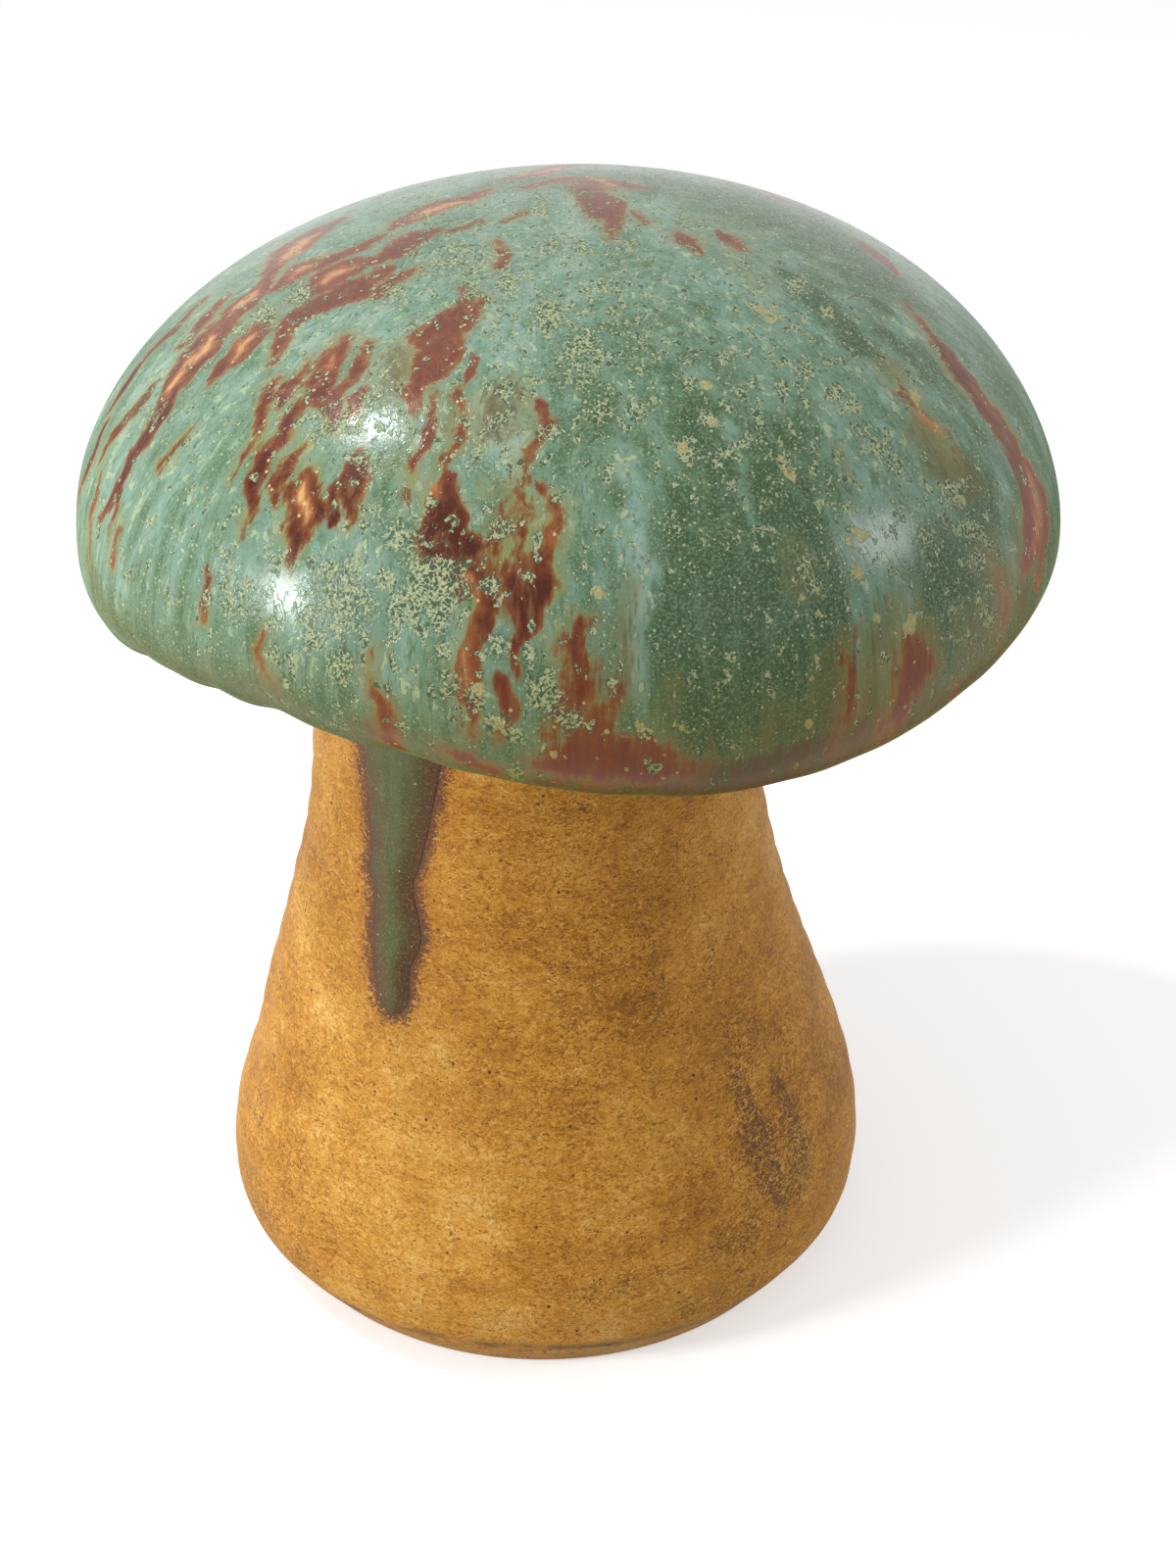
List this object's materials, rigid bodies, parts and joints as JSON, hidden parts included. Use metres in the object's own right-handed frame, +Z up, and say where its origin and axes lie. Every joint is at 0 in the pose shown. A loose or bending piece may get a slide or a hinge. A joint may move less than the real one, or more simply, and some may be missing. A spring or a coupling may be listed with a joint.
{
  "type": "ceramic mushroom ornament",
  "caption": "Free-standing stoneware mushroom ornament: a domed, glazed cap with a rolled lip that lifts off a flared hollow stem, with a run of glaze down one side.",
  "frame": {"origin": "on the floor under the middle of the cap; the stem's own axis stands 6 mm to the left of it", "axes": "+Z up, along the axes of the cap and the stem, the front of the picture faces -Y, +X to the viewer's right"},
  "size_m": [0.2, 0.2, 0.24],
  "materials": {
    "ochre_stoneware": "satin-matt ochre ash glaze over stoneware, fibrous brown mottling",
    "glaze_drip": "satin-gloss dark green glaze with brown edges",
    "bare_stoneware": "matt, unglazed buff stoneware",
    "green_reactive_glaze": "satin-gloss celadon-green reactive glaze with rust runs and cream crystals"
  },
  "bodies": {
    "stem": {"stem": "ochre_stoneware", "glaze_run": "glaze_drip"},
    "cap": {"cap_dome": "bare_stoneware", "cap_glaze": "green_reactive_glaze", "cap_collar": "bare_stoneware"}
  },
  "joints": [
    {"name": "cap_lift", "type": "slide", "parent": "stem", "child": "cap", "axis": [0, 0, 1], "range_m": [0, 0.06]}
  ]
}
